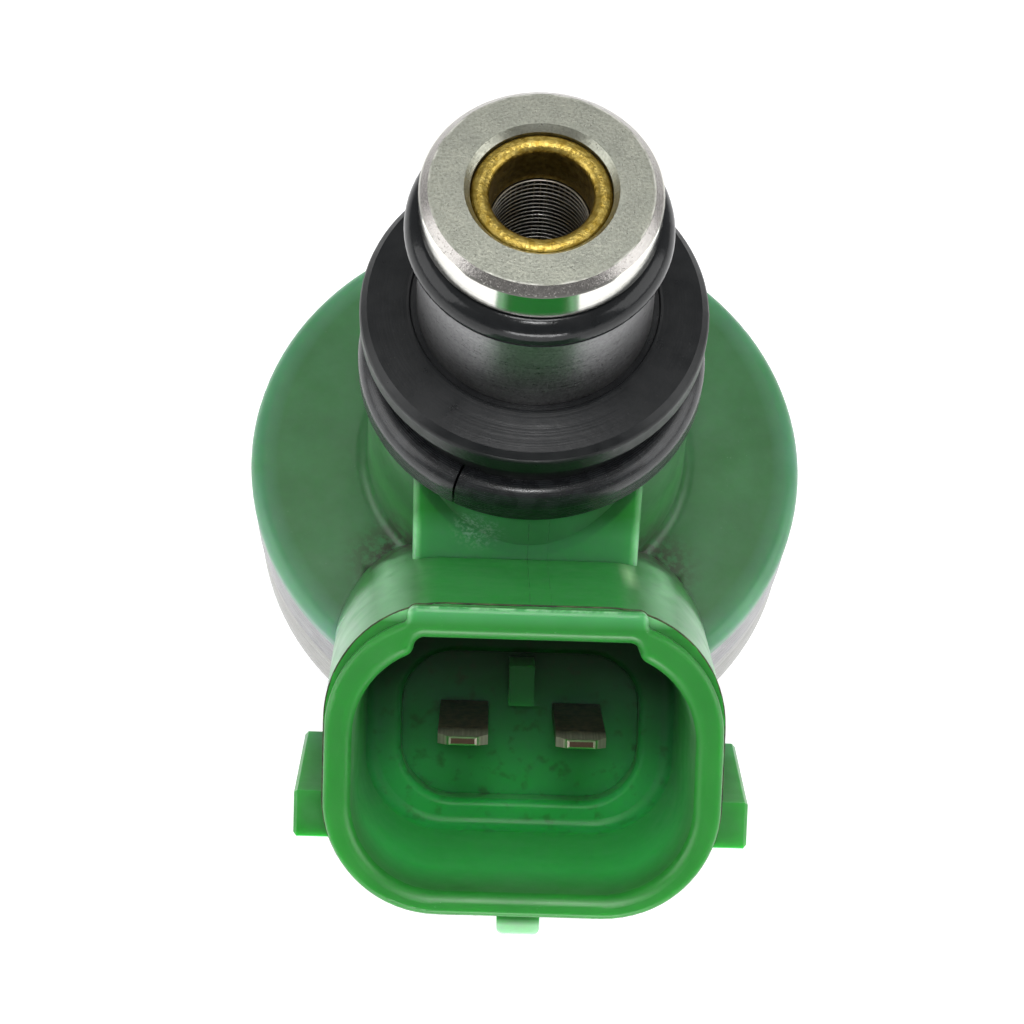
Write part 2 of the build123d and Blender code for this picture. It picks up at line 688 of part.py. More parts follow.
def manifold_insulator():
    """Thick rubber ring that carries the injector on the manifold."""
    body = tube(INSULATOR_R, SPIGOT_R, BODY_SHOULDER_BOTTOM, INSULATOR_BOTTOM)
    return fillet(edges_at(body, INSULATOR_R, BODY_SHOULDER_BOTTOM) + edges_at(body, INSULATOR_R, INSULATOR_BOTTOM), 0.6)


def nozzle_cap():
    """Plastic cap pressed over the nozzle, open at the spray hole."""
    body = turned([
        (NOZZLE_R, CAP_TOP),
        (CAP_R, CAP_TOP),
        (CAP_R, CAP_BOTTOM + 0.8),
        (CAP_R - 0.8, CAP_BOTTOM),
        (CAP_MOUTH_R + 0.6, CAP_BOTTOM),
        (CAP_MOUTH_R, CAP_BOTTOM + 0.6),
        (CAP_MOUTH_R, NOZZLE_BOTTOM),
        (NOZZLE_R, NOZZLE_BOTTOM),
    ])
    return body


# --------------------------------------------------------------------- export

PARTS = {
    "inlet_tube": inlet_tube(),
    "filter_collar": filter_collar(),
    "filter_frame": filter_frame(),
    "filter_mesh": filter_mesh(),
    "rail_oring": rail_oring(),
    "upper_grommet": upper_grommet(),
    "split_spacer_ring": split_spacer_ring(),
    "overmould_body": overmould_body(),
    "terminal_left": terminal(-PIN_PITCH / 2),
    "terminal_right": terminal(PIN_PITCH / 2),
    "flux_plate": flux_plate(),
    "steel_housing": steel_housing(),
    "coil_bobbin": coil_bobbin(),
    "coil_winding": coil_winding(),
    "bobbin_oring_upper": bobbin_oring_upper(),
    "bobbin_oring_lower": bobbin_oring_lower(),
    "nonmagnetic_sleeve": nonmagnetic_sleeve(),
    "adjuster_tube": adjuster_tube(),
    "return_spring": return_spring(),
    "armature": armature(),
    "valve_needle": valve_needle(),
    "valve_body": valve_body(),
    "valve_seat": valve_seat(),
    "orifice_plate": orifice_plate(),
    "nozzle_oring": nozzle_oring(),
    "manifold_insulator": manifold_insulator(),
    "nozzle_cap": nozzle_cap(),
}

for name, shape in PARTS.items():
    export_step(shape, f"parts/{name}.step")
    print(name, "volume", round(shape.volume, 2))
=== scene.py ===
"""Looks of the fuel injector: camera, light, fine pieces and materials."""

from math import cos, pi, radians, sin

import bpy
from mathutils import Matrix, Vector, noise


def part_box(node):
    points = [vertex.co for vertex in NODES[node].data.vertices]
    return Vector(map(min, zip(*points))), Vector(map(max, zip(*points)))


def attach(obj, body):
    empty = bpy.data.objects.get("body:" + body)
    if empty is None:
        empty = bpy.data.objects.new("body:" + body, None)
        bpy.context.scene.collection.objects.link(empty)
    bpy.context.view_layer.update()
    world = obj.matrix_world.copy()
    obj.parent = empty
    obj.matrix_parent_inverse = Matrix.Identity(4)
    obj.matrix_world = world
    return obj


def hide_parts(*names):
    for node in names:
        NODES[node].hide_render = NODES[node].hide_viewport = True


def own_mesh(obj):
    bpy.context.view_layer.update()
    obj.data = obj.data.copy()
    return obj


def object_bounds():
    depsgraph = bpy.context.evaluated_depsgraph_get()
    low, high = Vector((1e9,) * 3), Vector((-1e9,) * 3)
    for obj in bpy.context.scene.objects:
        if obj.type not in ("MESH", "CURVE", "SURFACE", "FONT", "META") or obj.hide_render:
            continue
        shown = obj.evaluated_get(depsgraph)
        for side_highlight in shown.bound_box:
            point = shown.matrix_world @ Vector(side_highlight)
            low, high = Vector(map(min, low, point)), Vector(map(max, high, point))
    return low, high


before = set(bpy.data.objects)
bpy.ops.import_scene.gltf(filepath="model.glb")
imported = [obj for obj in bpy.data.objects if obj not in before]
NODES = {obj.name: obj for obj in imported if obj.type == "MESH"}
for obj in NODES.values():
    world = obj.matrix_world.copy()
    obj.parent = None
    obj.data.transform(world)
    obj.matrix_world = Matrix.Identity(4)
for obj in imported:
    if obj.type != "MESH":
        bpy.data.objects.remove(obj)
cad_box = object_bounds()
MM = 0.001

# The connector's own plane: its middle on the rim, upwards across it, and inwards
RIM_MIDDLE = Vector((0.0, -21.0, -13.4)) * MM
RIM_SLOPE = radians(56.0)
SOCKET_UP = Vector((0.0, sin(RIM_SLOPE), cos(RIM_SLOPE)))
SOCKET_IN = Vector((0.0, cos(RIM_SLOPE), -sin(RIM_SLOPE)))


# -------------------------------------------------------------------- camera

AIM = Vector((-0.86, -12.22, -6.57)) * MM
CAMERA_DISTANCE = 107.76 * MM
CAMERA_AZIMUTH = radians(-1.57)
CAMERA_ELEVATION = radians(63.2)
CAMERA_ROLL = radians(3.15)
CAMERA_LENS = 88.5
CAMERA_NEAR = 5 * MM
CAMERA_FAR = 10.0


def make_camera():
    """Camera close above the injector, looking into its connector."""
    back = Vector((
        sin(CAMERA_AZIMUTH) * cos(CAMERA_ELEVATION),
        -cos(CAMERA_AZIMUTH) * cos(CAMERA_ELEVATION),
        sin(CAMERA_ELEVATION),
    ))
    camera = bpy.data.objects.new("camera", bpy.data.cameras.new("camera"))
    camera.data.lens = CAMERA_LENS
    camera.data.clip_start = CAMERA_NEAR
    camera.data.clip_end = CAMERA_FAR
    turn = back.to_track_quat("Z", "Y").to_matrix() @ Matrix.Rotation(CAMERA_ROLL, 3, "Z")
    camera.matrix_world = Matrix.Translation(AIM + back * CAMERA_DISTANCE) @ turn.to_4x4()
    bpy.context.scene.collection.objects.link(camera)
    bpy.context.scene.camera = camera


make_camera()


# --------------------------------------------------------- material building


class Surface:
    """A node material around one Principled shader, in the part's own coordinates."""

    def __init__(self, name, roughness, metallic=0.0, **settings):
        self.material = bpy.data.materials.new(name)
        self.material.use_nodes = True
        self.tree = self.material.node_tree
        self.shader = self.tree.nodes["Principled BSDF"]
        coordinates = self.node("ShaderNodeTexCoord")
        self.place = coordinates.outputs["Object"]
        self.facing = coordinates.outputs["Normal"]
        self.set(Roughness=roughness, Metallic=metallic, **settings)

    def set(self, **values):
        """Sets or connects inputs of the shader; a name's underscores are spaces."""
        for name, value in values.items():
            self.feed(self.shader.inputs[name.replace("_", " ")], value)

    def feed(self, socket, value):
        """Connects a socket to another, or gives it a value."""
        if isinstance(value, bpy.types.NodeSocket):
            self.tree.links.new(value, socket)
        else:
            socket.default_value = value

    def node(self, kind, **inputs):
        """New node with some of its inputs set or connected."""
        made = self.tree.nodes.new(kind)
        for name, value in inputs.items():
            self.feed(made.inputs[name.replace("_", " ")], value)
        return made

    def noise(self, size, detail, rough=0.5, vector=None):
        """Noise with features of one size in millimetres."""
        made = self.node("ShaderNodeTexNoise", Scale=1 / (size * MM), Detail=detail, Roughness=rough)
        self.feed(made.inputs["Vector"], vector or self.place)
        return made.outputs["Fac"]

    def cells(self, size):
        """Distance to the middle of the nearest cell of one size in millimetres."""
        made = self.node("ShaderNodeTexVoronoi", Scale=1 / (size * MM), Vector=self.place)
        return made.outputs["Distance"]

    def sums(self, operation, first, second=0.0):
        """One arithmetic step on one or two values."""
        made = self.tree.nodes.new("ShaderNodeMath")
        made.operation = operation
        self.feed(made.inputs[0], first)
        self.feed(made.inputs[1], second)
        return made.outputs[0]

    def spread(self, value, low, high, to_low=0.0, to_high=1.0):
        """Maps a value from one range to another, clamped."""
        ends = {"From_Min": low, "From_Max": high, "To_Min": to_low, "To_Max": to_high}
        return self.node("ShaderNodeMapRange", Value=value, **ends).outputs["Result"]

    def ramp(self, distance, low, high, to_low=0.0, to_high=1.0):
        """Maps a distance from a range given in millimetres to another range, clamped."""
        return self.spread(distance, low * MM, high * MM, to_low, to_high)

    def patches(self, size, detail, rough, low, high, to_low=0.0, to_high=1.0):
        """Noise of one size in millimetres, mapped from one range to another."""
        return self.spread(self.noise(size, detail, rough), low, high, to_low, to_high)

    def either(self, first, second):
        """Larger of two masks."""
        return self.sums("MAXIMUM", first, second)

    def off(self, mask):
        """One where a mask is zero, and zero where it is one."""
        return self.sums("SUBTRACT", 1.0, mask)

    def blend(self, factor, first, second):
        """Colour between two colours."""
        made = self.tree.nodes.new("ShaderNodeMix")
        made.data_type = "RGBA"
        self.feed(made.inputs["Factor"], factor)
        self.feed(made.inputs["A"], first)
        self.feed(made.inputs["B"], second)
        return made.outputs["Result"]

    def layers(self, colour, *coats):
        """Colours laid in turn over a first one, each through its own mask."""
        for mask, coat in coats:
            colour = self.blend(mask, colour, coat)
        return colour

    def turned_lines(self, pitch):
        """Noise that changes only with radius and height, like marks from a lathe."""
        lines = self.node("ShaderNodeCombineXYZ", X=self.radius(), Y=self.height())
        return self.noise(pitch, 2.0, 0.6, lines.outputs[0])

    def axes(self):
        """The X, Y and Z coordinates, in metres."""
        return self.node("ShaderNodeSeparateXYZ", Vector=self.place).outputs

    def height(self):
        """The Z coordinate, in metres."""
        return self.axes()["Z"]

    def radius(self):
        """Distance from the injector's axis, in metres."""
        x, y, _ = self.axes()
        squares = self.sums("ADD", self.sums("MULTIPLY", x, x), self.sums("MULTIPLY", y, y))
        return self.sums("SQRT", squares)

    def vectors(self, operation, first, second):
        """One step on two vectors, with a plain number as its result."""
        made = self.tree.nodes.new("ShaderNodeVectorMath")
        made.operation = operation
        self.feed(made.inputs[0], first)
        self.feed(made.inputs[1], second)
        return made.outputs["Value"]

    def dot(self, vector, direction):
        """Length of a vector along a direction."""
        return self.vectors("DOT_PRODUCT", vector, direction)

    def along(self, direction, origin):
        """Distance from a point along a direction, in metres."""
        return self.sums("SUBTRACT", self.dot(self.place, direction), origin.dot(direction))

    def spot(self, place, radius):
        """One at a place given in millimetres, fading to zero at a radius."""
        distance = self.vectors("DISTANCE", self.place, Vector(place) * MM)
        return self.ramp(distance, 0.0, radius, 1.0, 0.0)

    def line(self, distance, middle, half_width):
        """One where a distance equals a middle value, fading to zero within a half width."""
        away = self.sums("ABSOLUTE", self.sums("SUBTRACT", distance, middle * MM))
        return self.ramp(away, 0.0, half_width, 1.0, 0.0)

    def both(self, *masks):
        """Product of masks."""
        result = masks[0]
        for mask in masks[1:]:
            result = self.sums("MULTIPLY", result, mask)
        return result

    def bumps(self, *heights):
        """Bump from pairs of a height's pattern and its depth in millimetres."""
        normal = None
        for value, depth in heights:
            deep = self.sums("MULTIPLY", depth, MM)
            made = self.node("ShaderNodeBump", Height=value, Distance=deep)
            if normal:
                self.feed(made.inputs["Normal"], normal)
            normal = made.outputs["Normal"]
        self.feed(self.shader.inputs["Normal"], normal)


def rgb(red, green, blue):
    """Opaque colour."""
    return (red, green, blue, 1.0)


# ------------------------------------------------------------- green plastic

# The connector's outer walls, in millimetres from its middle
SHROUD_HALF_WIDTH = 8.0
SHROUD_TOP = 5.95
SHROUD_BOTTOM = 6.4

# Places in millimetres: a scuff on the block, and the corners that get painted brown shade
SCUFF = (-2.3, -7.7, -17.6)
LEFT_CORNER = (-6.4, -6.3, -23.6)
RIGHT_CORNER = (6.6, -6.4, -23.6)

DARK_GREEN = rgb(0.018, 0.200, 0.027)
MID_GREEN = rgb(0.026, 0.245, 0.035)
# Painted shade: the disc darker and greyer than the rest
DISC_SHADE_GREEN = rgb(0.034, 0.154, 0.047)
# Painted sheen: a pale edge on the disc
DISC_EDGE_SHEEN_GREEN = rgb(0.17, 0.38, 0.30)
# Painted shade on the neck under the rings
NECK_SHADE_GREEN = rgb(0.014, 0.100, 0.024)
# General haze, and painted whitish sheen on the shoulders
HAZE_AND_SHEEN_GREEN = rgb(0.14, 0.38, 0.18)
# Painted light: the block lighter than the rest
BLOCK_LIGHT_GREEN = rgb(0.11, 0.42, 0.18)
# Painted light: the connector's top lighter and greener
TOP_LIGHT_GREEN = rgb(0.050, 0.350, 0.078)
# Painted highlights on the block's rounded side edges
SIDE_HIGHLIGHT_GREEN = rgb(0.30, 0.62, 0.34)
LIT_GREEN = rgb(0.034, 0.47, 0.090)
SHADE_GREEN = rgb(0.010, 0.050, 0.016)
# Painted whitish sheen on the flanks and on the tab under the rim
SHEEN_GREEN = rgb(0.50, 0.68, 0.54)
# Painted highlight as a streak on the connector's top
TOP_HIGHLIGHT_GREEN = rgb(0.45, 0.72, 0.38)
# Worn lip along the rim, with a painted highlight
LIP_WEAR_HIGHLIGHT_GREEN = rgb(0.45, 0.72, 0.46)
WORN_GREEN = rgb(0.30, 0.48, 0.32)
FROST_GREEN = rgb(0.40, 0.62, 0.48)
# Painted shade, brown and patchy, in the corners and deep in the socket
CREVICE_SHADE_BROWN = rgb(0.035, 0.050, 0.022)
SEAM_GREEN = rgb(0.02, 0.10, 0.03)


class GreenPlastic(Surface):
    """Green plastic of the moulding, with a mask for each area that looks different.

    The ramps, spots and lines that make the masks are all in millimetres.
    """

    def __init__(self):
        super().__init__("green_plastic", 0.38, IOR=1.5)
        self.across, self.forward, _ = self.axes()
        self.side = self.sums("ABSOLUTE", self.across)
        self.upward = self.along(SOCKET_UP, RIM_MIDDLE)
        self.depth = self.along(SOCKET_IN, RIM_MIDDLE)
        self.above = self.sums("SUBTRACT", self.upward, SHROUD_TOP * MM)
        self.skin = self.shroud_skin()
        self.behind_rim = self.ramp(self.depth, 0.55, 0.70)
        self.socket = self.ramp(self.depth, 13.0, 10.0)
        self.flat_top = self.spread(self.dot(self.facing, SOCKET_UP), 0.85, 0.97)
        self.inside = self.cavity()
        self.outside = self.off(self.inside)
        self.haze_and_sheen = self.haze_and_shoulder_sheen()
        middle_top = self.both(self.ramp(self.side, 5.2, 4.0), self.ramp(self.upward, 6.1, 6.3))
        self.top = self.both(middle_top, self.behind_rim, self.flat_top)
        near_scuff = self.spread(self.spot(SCUFF, 1.5), 0.0, 0.6)
        self.frost = self.both(near_scuff, self.patches(0.22, 5.0, 0.75, 0.48, 0.62))
        self.seams = self.mould_seams()

    def shroud_skin(self):
        """Distance outwards from the connector's outer walls."""
        flank = self.sums("SUBTRACT", self.side, SHROUD_HALF_WIDTH * MM)
        below = self.sums("SUBTRACT", self.sums("MULTIPLY", self.upward, -1.0), SHROUD_BOTTOM * MM)
        return self.either(flank, self.either(self.above, below))

    def cavity(self):
        """Walls and floor inside the connector."""
        sideways = self.sums("MULTIPLY", self.across, self.dot(self.facing, Vector((1, 0, 0))))
        upwards = self.sums("MULTIPLY", self.upward, self.dot(self.facing, SOCKET_UP))
        walls = self.ramp(self.sums("ADD", sideways, upwards), 0.2, -0.2)
        floors = self.spread(self.dot(self.facing, SOCKET_IN), -0.6, -0.8)
        within = self.both(self.ramp(self.skin, 0.1, -0.1), self.ramp(self.depth, 1.0, 4.0))
        return self.both(within, self.either(walls, floors))

    def haze_and_shoulder_sheen(self):
        """Faint cloudiness all over, and a painted whitish sheen on the connector's two shoulders."""
        shoulder = self.both(self.ramp(self.side, 4.4, 7.4), self.ramp(self.upward, 1.0, 4.0))
        shoulder_sheen = self.both(shoulder, self.socket, self.patches(0.9, 5.0, 0.7, 0.30, 0.62, 0.45, 0.95))
        cloudy = self.patches(2.6, 4.0, 0.6, 0.35, 0.75, 0.0, 0.22)
        return self.both(self.outside, self.behind_rim, self.either(cloudy, shoulder_sheen))

    def mould_seams(self):
        """Two broken mould lines along the connector's top."""
        first = self.line(self.across, 0.10, 0.035)
        second = self.both(self.line(self.across, 1.05, 0.03), 0.6)
        on_top = self.ramp(self.upward, 6.2, 6.4)
        broken = self.patches(0.9, 2.0, 0.5, 0.35, 0.55)
        return self.both(self.either(first, second), on_top, self.behind_rim, broken)

    def body_coats(self, cloud):
        """Painted shade on the disc, a painted sheen on its edge, painted shade on the neck, and the
        general haze with painted sheen on the shoulders.
        """
        low = self.ramp(self.height(), -19.5, -23.0)
        disc_shade = self.both(low, self.ramp(self.skin, -0.1, 0.1), self.spread(cloud, 0.0, 1.0, 0.65, 0.95))
        near_edge = self.ramp(self.radius(), 12.6, 13.9)
        edge_highlight = self.both(near_edge, low, self.spread(cloud, 0.0, 1.0, 0.3, 0.6))
        high = self.ramp(self.height(), -21.0, -19.5)
        neck_shade = self.both(self.ramp(self.radius(), 8.25, 8.15), high, 0.75)
        return (
            (disc_shade, DISC_SHADE_GREEN),
            (edge_highlight, DISC_EDGE_SHEEN_GREEN),
            (neck_shade, NECK_SHADE_GREEN),
            (self.haze_and_sheen, HAZE_AND_SHEEN_GREEN),
        )

    def block_coats(self):
        """Painted light on the block between neck and connector, painted highlights on its side edges,
        and painted light on the connector's top.
        """
        block = self.both(self.ramp(self.forward, -7.0, -7.6), self.ramp(self.above, 0.0, 0.5))
        block = self.both(block, self.off(self.flat_top))
        side_highlight = self.both(block, self.ramp(self.side, 4.95, 5.30))
        side_highlight = self.both(side_highlight, self.patches(1.2, 3.0, 0.5, 0.3, 0.6, 0.4, 0.9))
        return (
            (self.both(block, 0.55), BLOCK_LIGHT_GREEN),
            (self.both(self.top, 0.6), TOP_LIGHT_GREEN),
            (side_highlight, SIDE_HIGHLIGHT_GREEN),
        )

    def socket_coats(self):
        """Glow low in the socket and shade under its roof."""
        lit = self.both(self.inside, self.ramp(self.upward, -5.5, 3.0, 1.0, 0.0))
        roof = self.ramp(self.upward, -3.0, 2.0, 0.0, 0.9)
        shade = self.both(self.inside, self.ramp(self.depth, 7.5, 11.0), roof)
        return (lit, LIT_GREEN), (shade, SHADE_GREEN)

    def sheen_coats(self):
        """Painted whitish sheen on the flanks and the tab, a painted highlight as a streak on the top,
        and a worn lip in front with a painted highlight.
        """
        flanks = self.both(self.ramp(self.side, 6.2, 8.3), self.ramp(self.upward, -1.0, 5.0))
        flanks = self.both(flanks, self.socket, self.outside, self.behind_rim)
        flanks = self.both(flanks, self.patches(1.5, 4.0, 0.5, 0.3, 0.7, 0.35, 0.9))
        tab = self.both(self.ramp(self.upward, -7.3, -7.6), self.socket)
        top_highlight = self.both(self.line(self.across, 4.85, 0.5), self.ramp(self.depth, 5.5, 8.5))
        top_highlight = self.both(top_highlight, self.flat_top, self.ramp(self.above, 0.0, 0.3), self.socket, 0.8)
        lip_wear_and_highlight = self.both(self.line(self.depth, 0.12, 0.10), self.ramp(self.upward, 6.3, 6.5), 0.65)
        lip_wear_and_highlight = self.both(lip_wear_and_highlight, self.patches(0.4, 4.0, 0.5, 0.42, 0.6))
        flank_and_tab_sheen = self.both(self.either(flanks, tab), 0.75)
        return (flank_and_tab_sheen, SHEEN_GREEN), (top_highlight, TOP_HIGHLIGHT_GREEN), (lip_wear_and_highlight, LIP_WEAR_HIGHLIGHT_GREEN)

    def wear_and_shade_coats(self):
        """Fine scratches, the scuff on the block, painted brown shade in the corners and deep in the
        socket, and the mould lines.
        """
        scratches = self.patches(0.16, 5.0, 0.7, 0.64, 0.72)
        worn = self.both(scratches, self.patches(3.0, 2.0, 0.5, 0.50, 0.65), self.outside, 0.35)
        corners = self.either(self.spot(LEFT_CORNER, 2.8), self.spot(RIGHT_CORNER, 2.6))
        corners = self.both(self.spread(corners, 0.0, 0.7), self.patches(0.5, 5.0, 0.65, 0.40, 0.56))
        floor = self.both(self.inside, self.ramp(self.depth, 9.5, 11.5), 0.45)
        crevice_shade = self.either(corners, self.both(floor, self.patches(0.7, 4.0, 0.5, 0.56, 0.70)))
        scuff = self.both(self.frost, 0.6)
        seams = self.both(self.seams, 0.65)
        return (worn, WORN_GREEN), (scuff, FROST_GREEN), (crevice_shade, CREVICE_SHADE_BROWN), (seams, SEAM_GREEN)


def green_plastic():
    """Moulded green plastic, slightly cloudy, with scuffs and mould lines, and with painted light,
    shade, sheen and highlights.
    """
    s = GreenPlastic()
    cloud = s.patches(4.0, 3.0, 0.5, 0.3, 0.7)
    colour = s.layers(
        s.blend(cloud, DARK_GREEN, MID_GREEN),
        *s.body_coats(cloud),
        *s.block_coats(),
        *s.socket_coats(),
        *s.sheen_coats(),
        *s.wear_and_shade_coats(),
    )
    duller = s.either(s.both(s.inside, 0.3), s.both(s.top, 0.34))
    s.set(
        Base_Color=colour,
        Roughness=s.sums("ADD", s.patches(1.2, 4.0, 0.5, 0.3, 0.7, 0.28, 0.38), s.both(s.haze_and_sheen, 0.25)),
        Specular_IOR_Level=s.sums("SUBTRACT", 0.5, duller),
        Subsurface_Weight=0.90,
        Subsurface_Radius=(0.25, 1.0, 0.30),
        Subsurface_Scale=2.6 * MM,
        Sheen_Weight=s.spread(s.top, 0.0, 1.0, 0.05, 0.0),
        Sheen_Roughness=0.45,
    )
    s.bumps(
        (s.noise(0.30, 2.0), s.spread(s.inside, 0.0, 1.0, 0.004, 0.001)),
        (s.noise(2.2, 1.0), s.spread(s.inside, 0.0, 1.0, 0.02, 0.002)),
        (s.frost, 0.015),
        (s.seams, -0.03),
    )
    return s.material


# ----------------------------------------------------------- other materials


def turned_steel(name, colour, dull, lines=0.05, shine=0.18):
    """Machined steel with lathe marks, specks and worn patches."""
    s = Surface(name, shine, 1.0)
    marks = s.turned_lines(lines)
    speck = s.patches(0.09, 3.0, 0.6, 0.60, 0.72)
    base = s.blend(s.patches(1.2, 4.0, 0.6, 0.35, 0.70), colour, dull)
    rough = s.spread(marks, 0.3, 0.7, shine * 0.7, shine * 1.5)
    s.set(
        Base_Color=s.blend(s.both(speck, 0.5), base, rgb(0.25, 0.25, 0.24)),
        Roughness=s.sums("ADD", rough, s.both(speck, 0.15)),
    )
    s.bumps((marks, 0.004), (speck, -0.003))
    return s.material


# The inlet tube's heights and radii in millimetres, and its steel's tones, some of them painted
# highlight and painted dark reflection
FLANGE_BACK = -2.0
FLANGE_RIM = 5.20
FACE_EDGE = 4.86
FACE_STEEL = rgb(0.49, 0.50, 0.42)
WORN_FACE = rgb(0.39, 0.40, 0.34)
FACE_GRAIN = rgb(0.25, 0.26, 0.22)
FACE_RINGS = rgb(0.66, 0.66, 0.58)
EDGE_HIGHLIGHT = rgb(0.85, 0.84, 0.78)
FLANK_STEEL = rgb(0.80, 0.79, 0.74)
BEVEL_DARK_REFLECTION = rgb(0.44, 0.42, 0.40)
TUBE_DARK = rgb(0.20, 0.20, 0.205)
TUBE_PALE = rgb(0.42, 0.42, 0.425)
NICK_DARK = rgb(0.15, 0.15, 0.13)


def inlet_steel():
    """Inlet tube: dull turned face with a painted highlight on its worn edge and a painted dark
    reflection on its bevel, polished flange, and brushed tube painted darker for the dark things it
    reflects.
    """
    s = Surface("inlet_steel", 0.3, 1.0)
    marks = s.turned_lines(0.07)
    fine = s.turned_lines(0.03)
    grain = s.noise(0.14, 4.0, 0.7)
    nicks = s.patches(0.10, 3.0, 0.6, 0.64, 0.72)
    tube = s.ramp(s.height(), FLANGE_BACK + 0.05, FLANGE_BACK - 0.05)
    flank = s.both(s.ramp(s.radius(), FLANGE_RIM, FLANGE_RIM + 0.07), s.off(tube))
    face = s.off(s.either(tube, flank))
    nicks_on_face = s.both(nicks, face)

    rings = s.both(s.spread(fine, 0.55, 0.70), s.patches(0.8, 3.0, 0.5, 0.45, 0.65), 0.5)
    # Painted highlight along the face's worn outer edge
    edge_highlight = s.both(s.line(s.radius(), FACE_EDGE, 0.07), s.patches(0.9, 3.0, 0.5, 0.40, 0.60), 0.8)
    # Painted dark reflection on the bevel round the face
    steep = s.spread(s.dot(s.facing, Vector((0, 0, 1))), 0.95, 0.85)
    bevel = s.both(steep, face, s.ramp(s.radius(), 4.80, 4.90))
    mottle = s.spread(s.sums("ADD", s.both(fine, 0.5), s.both(grain, 0.5)), 0.35, 0.65)
    # The tube is painted darker, for the dark things that it reflects
    colour = s.layers(
        s.blend(s.patches(1.4, 4.0, 0.6, 0.35, 0.70), FACE_STEEL, WORN_FACE),
        (s.spread(grain, 0.42, 0.68, 0.0, 0.8), FACE_GRAIN),
        (rings, FACE_RINGS),
        (edge_highlight, EDGE_HIGHLIGHT),
        (flank, FLANK_STEEL),
        (bevel, BEVEL_DARK_REFLECTION),
        (tube, s.blend(mottle, TUBE_DARK, TUBE_PALE)),
        (s.both(nicks_on_face, 0.8), NICK_DARK),
    )

    rough_face = s.sums("SUBTRACT", s.spread(grain, 0.3, 0.7, 0.26, 0.42), s.both(bevel, 0.10))
    rough_tube = s.spread(mottle, 0.0, 1.0, 0.26, 0.40)
    rough = s.sums("ADD", s.both(face, rough_face), s.both(tube, rough_tube))
    s.set(Base_Color=colour, Roughness=s.sums("ADD", rough, s.both(flank, 0.10)))
    s.bumps(
        (marks, 0.004),
        (s.both(fine, tube), 0.003),
        (s.both(grain, tube), 0.010),
        (s.both(grain, face), 0.012),
        (nicks_on_face, -0.02),
    )
    return s.material


def sintered_brass():
    """Golden brass with a grainy, hammered surface."""
    s = Surface("sintered_brass", 0.34, 1.0)
    fine = s.noise(0.07, 4.0, 0.7)
    tone = s.patches(0.35, 3.0, 0.5, 0.35, 0.65)
    colour = s.blend(tone, rgb(0.36, 0.24, 0.040), rgb(0.60, 0.45, 0.12))
    colour = s.blend(s.spread(fine, 0.55, 0.75, 0.0, 0.5), colour, rgb(0.24, 0.15, 0.02))
    s.set(Base_Color=colour, Roughness=s.spread(fine, 0.3, 0.7, 0.24, 0.44))
    s.bumps((s.cells(0.13), 0.012), (fine, 0.010))
    return s.material


def seal_rubber(name, roughness, streaks):
    """Black rubber with fine flow lines and worn specks."""
    s = Surface(name, roughness, IOR=1.45, Specular_IOR_Level=0.4)
    dust = s.both(s.patches(0.12, 4.0, 0.7, 0.62, 0.78), s.patches(1.8, 3.0, 0.5, 0.45, 0.65), 0.6)
    tone = s.patches(1.5, 3.0, 0.5, 0.3, 0.7)
    colour = s.blend(tone, rgb(0.006, 0.007, 0.008), rgb(0.013, 0.014, 0.015))
    s.set(
        Base_Color=s.blend(dust, colour, rgb(0.09, 0.09, 0.085)),
        Roughness=s.patches(0.8, 4.0, 0.5, 0.3, 0.7, roughness * 0.8, roughness * 1.25),
    )
    s.bumps((s.turned_lines(0.12), streaks), (s.noise(0.25, 3.0), 0.006))
    return s.material


def black_plastic():
    """Black moulded plastic with turned streaks and worn, shinier patches."""
    s = Surface("black_plastic", 0.36, IOR=1.45, Specular_IOR_Level=0.45)
    fine = s.noise(0.2, 4.0, 0.6)
    wear = s.patches(0.9, 4.0, 0.6, 0.45, 0.65)
    colour = s.blend(s.spread(fine, 0.5, 0.8), rgb(0.009, 0.010, 0.011), rgb(0.024, 0.025, 0.027))
    s.set(
        Base_Color=s.blend(s.both(wear, 0.35), colour, rgb(0.045, 0.047, 0.050)),
        Roughness=s.sums("SUBTRACT", s.spread(fine, 0.3, 0.7, 0.30, 0.46), s.both(wear, 0.10)),
    )
    s.bumps((s.cells(0.30), 0.008), (fine, 0.008), (s.turned_lines(0.10), 0.006))
    return s.material


def worn_ring_plastic():
    """Black plastic of the split ring, polished by handling and finely scratched around."""
    s = Surface("worn_ring_plastic", 0.24, IOR=1.5, Specular_IOR_Level=0.6)
    scratch = s.turned_lines(0.05)
    wear = s.patches(0.7, 4.0, 0.6, 0.42, 0.62)
    nicks = s.patches(0.10, 4.0, 0.7, 0.62, 0.74)
    colour = s.blend(wear, rgb(0.010, 0.011, 0.013), rgb(0.022, 0.024, 0.027))
    s.set(
        Base_Color=s.blend(s.both(nicks, 0.5), colour, rgb(0.10, 0.10, 0.10)),
        Roughness=s.spread(scratch, 0.3, 0.7, 0.18, 0.34),
    )
    s.bumps((scratch, 0.004), (nicks, -0.006))
    return s.material


# The terminals' tones, some of them painted highlight, and the depths in millimetres of the tip's worn,
# highlighted edge and of its taper
OXIDE_BROWN = rgb(0.13, 0.095, 0.060)
OXIDE_DARK = rgb(0.030, 0.026, 0.020)
TAPER_LIT_DULL = rgb(0.26, 0.23, 0.18)
TAPER_HIGHLIGHT_PALE = rgb(0.52, 0.48, 0.40)
END_BROWN = rgb(0.115, 0.078, 0.052)
BARE_TIN_HIGHLIGHT = rgb(0.95, 0.86, 0.70)
BRIGHT_EDGE = (4.85, 4.70)
TAPER = (6.2, 5.2)


